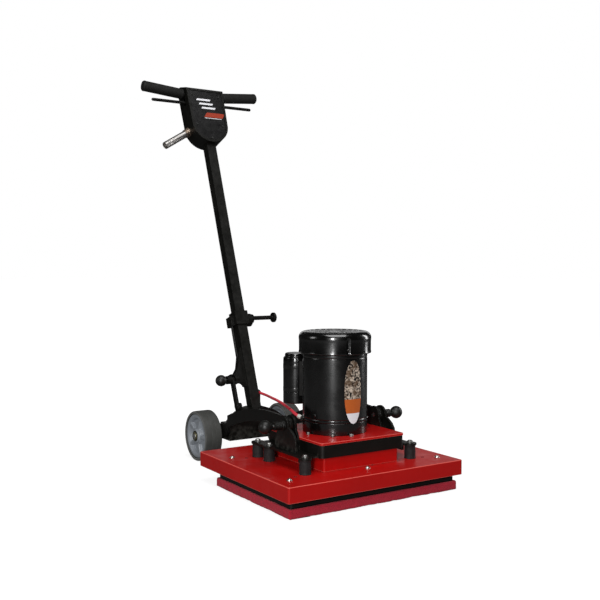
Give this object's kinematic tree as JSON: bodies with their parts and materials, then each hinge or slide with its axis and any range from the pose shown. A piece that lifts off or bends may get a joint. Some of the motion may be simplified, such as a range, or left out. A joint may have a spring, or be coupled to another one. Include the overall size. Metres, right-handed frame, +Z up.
{
  "type": "orbital floor machine",
  "caption": "Walk-behind orbital floor machine: rectangular pad and deck, upright motor, wheeled carriage, tilting mast with hand grips and trigger levers.",
  "frame": {"origin": "on the floor, under the motor's axis, at the middle of the pad's underside", "axes": "+Z up, -Y the machine's front, +Y the operator's side, +X the machine's left-to-right axis"},
  "size_m": [0.524, 1.0141, 1.1661],
  "materials": {
    "red_paint": "glossy",
    "black_paint": "semi-gloss, lightly textured",
    "motor_black": "semi-gloss",
    "black_plastic": "fine grained",
    "knob_plastic": "glossy",
    "grip_rubber": "matte",
    "mount_rubber": "matte",
    "tyre_rubber": "matte grey",
    "wheel_grey": "satin",
    "zinc": "zinc plated",
    "steel": "machined",
    "laminations": "varnished",
    "inlet_metal": "worn dark",
    "lead_jacket": "satin",
    "pad_fibre": "non-woven fibre"
  },
  "bodies": {
    "deck": {"deck_pan": "red_paint", "pedestal": "red_paint", "motor_plate": "red_paint", "isolation_frame": "black_paint", "pivot_ears": "black_paint", "frame_isolators": "mount_rubber", "isolator_bolts": "zinc", "deck_screws": "zinc", "driver_isolators": "mount_rubber", "motor_body": "motor_black", "drive_end_bell": "motor_black", "fan_cover": "motor_black", "stator": "laminations", "motor_bearings": "steel", "capacitor_can": "motor_black", "capacitor_bracket": "motor_black", "motor_bolts": "zinc", "motor_lead": "lead_jacket", "motor_gland": "black_plastic", "pin_barrels": "black_paint", "left_pin_spring": "steel", "right_pin_spring": "steel"},
    "rotor": {"motor_shaft": "steel", "rotor_core": "laminations", "cooling_fan": "black_plastic", "eccentric_hub": "steel"},
    "driver": {"driver_plate": "black_paint", "bearing_housing": "black_paint", "driver_bearing": "steel", "floor_pad": "pad_fibre"},
    "left_pin": {"left_lock_pin": "steel", "left_pin_knob": "knob_plastic"},
    "right_pin": {"right_lock_pin": "steel", "right_pin_knob": "knob_plastic"},
    "carriage": {"left_arm": "black_paint", "right_arm": "black_paint", "cross_member": "black_paint", "axle": "steel", "axle_nuts": "zinc", "mast_pivot_bolt": "zinc", "lead_bracket": "black_paint"},
    "left_wheel": {"left_wheel_core": "wheel_grey", "left_tyre": "tyre_rubber"},
    "right_wheel": {"right_wheel_core": "wheel_grey", "right_tyre": "tyre_rubber"},
    "mast": {"mast_tube": "black_paint", "wrap_clamp": "black_paint", "wrap_peg": "black_paint", "lock_bracket": "black_paint", "handle_housing": "black_plastic", "housing_cover": "black_plastic", "handlebar": "steel", "hand_grips": "grip_rubber", "switch_box": "black_plastic", "power_inlet": "inlet_metal", "mast_plunger_spring": "steel"},
    "plunger": {"mast_plunger": "knob_plastic"},
    "strut": {"adjuster_strut": "black_paint"},
    "left_trigger": {"left_lever": "black_plastic"},
    "right_trigger": {"right_lever": "black_plastic"}
  },
  "joints": [
    {"name": "rotor_spin", "type": "hinge", "parent": "deck", "child": "rotor", "pos_m": [0, 0, 0.2], "axis": [0, 0, 1], "continuous": true},
    {"name": "driver_orbit", "type": "hinge", "parent": "rotor", "child": "driver", "pos_m": [0.0032, 0, 0.045], "axis": [0, 0, 1], "continuous": true, "deforming": ["driver_isolators"]},
    {"name": "left_pin_pull", "type": "slide", "parent": "deck", "child": "left_pin", "axis": [-1, 0, 0], "range_m": [0, 0.018], "stiffness_N_per_m": 600, "springref_m": -0.01, "deforming": ["left_pin_spring"]},
    {"name": "right_pin_pull", "type": "slide", "parent": "deck", "child": "right_pin", "axis": [1, 0, 0], "range_m": [0, 0.018], "stiffness_N_per_m": 600, "springref_m": -0.01, "deforming": ["right_pin_spring"]},
    {"name": "arm_float", "type": "hinge", "parent": "deck", "child": "carriage", "pos_m": [0, 0.004, 0.179], "axis": [1, 0, 0], "range_deg": [-8, 5], "deforming": ["motor_lead"]},
    {"name": "mast_tilt", "type": "hinge", "parent": "carriage", "child": "mast", "pos_m": [0, 0.413, 0.128], "axis": [1, 0, 0], "range_deg": [-25, 19.8]},
    {"name": "strut_swing", "type": "hinge", "parent": "mast", "child": "strut", "pos_m": [0, 0.45189, 0.23601], "axis": [1, 0, 0], "range_deg": [-10, 8]},
    {"name": "mast_plunger_pull", "type": "slide", "parent": "mast", "child": "plunger", "axis": [-1, 0, 0], "range_m": [0, 0.008], "stiffness_N_per_m": 600, "springref_m": -0.01, "deforming": ["mast_plunger_spring"]},
    {"name": "left_wheel_spin", "type": "hinge", "parent": "carriage", "child": "left_wheel", "pos_m": [-0.136, 0.48, 0.0735], "axis": [1, 0, 0], "continuous": true},
    {"name": "right_wheel_spin", "type": "hinge", "parent": "carriage", "child": "right_wheel", "pos_m": [0.136, 0.48, 0.0735], "axis": [1, 0, 0], "continuous": true},
    {"name": "left_lever_squeeze", "type": "hinge", "parent": "mast", "child": "left_trigger", "pos_m": [-0.034, 0.7621, 1.1066], "axis": [0, 0.9409, -0.3387], "range_deg": [0, 7], "stiffness_Nm_per_rad": 2, "springref_deg": -17.19},
    {"name": "right_lever_squeeze", "type": "hinge", "parent": "mast", "child": "right_trigger", "pos_m": [0.034, 0.7621, 1.1066], "axis": [0, -0.9409, 0.3387], "range_deg": [0, 7], "stiffness_Nm_per_rad": 2, "springref_deg": -17.19}
  ],
  "couplings": [
    {"joint": "driver_orbit", "follows": "rotor_spin", "ratio": -1},
    {"joint": "strut_swing", "follows": "mast_tilt", "ratio": 0.385}
  ]
}
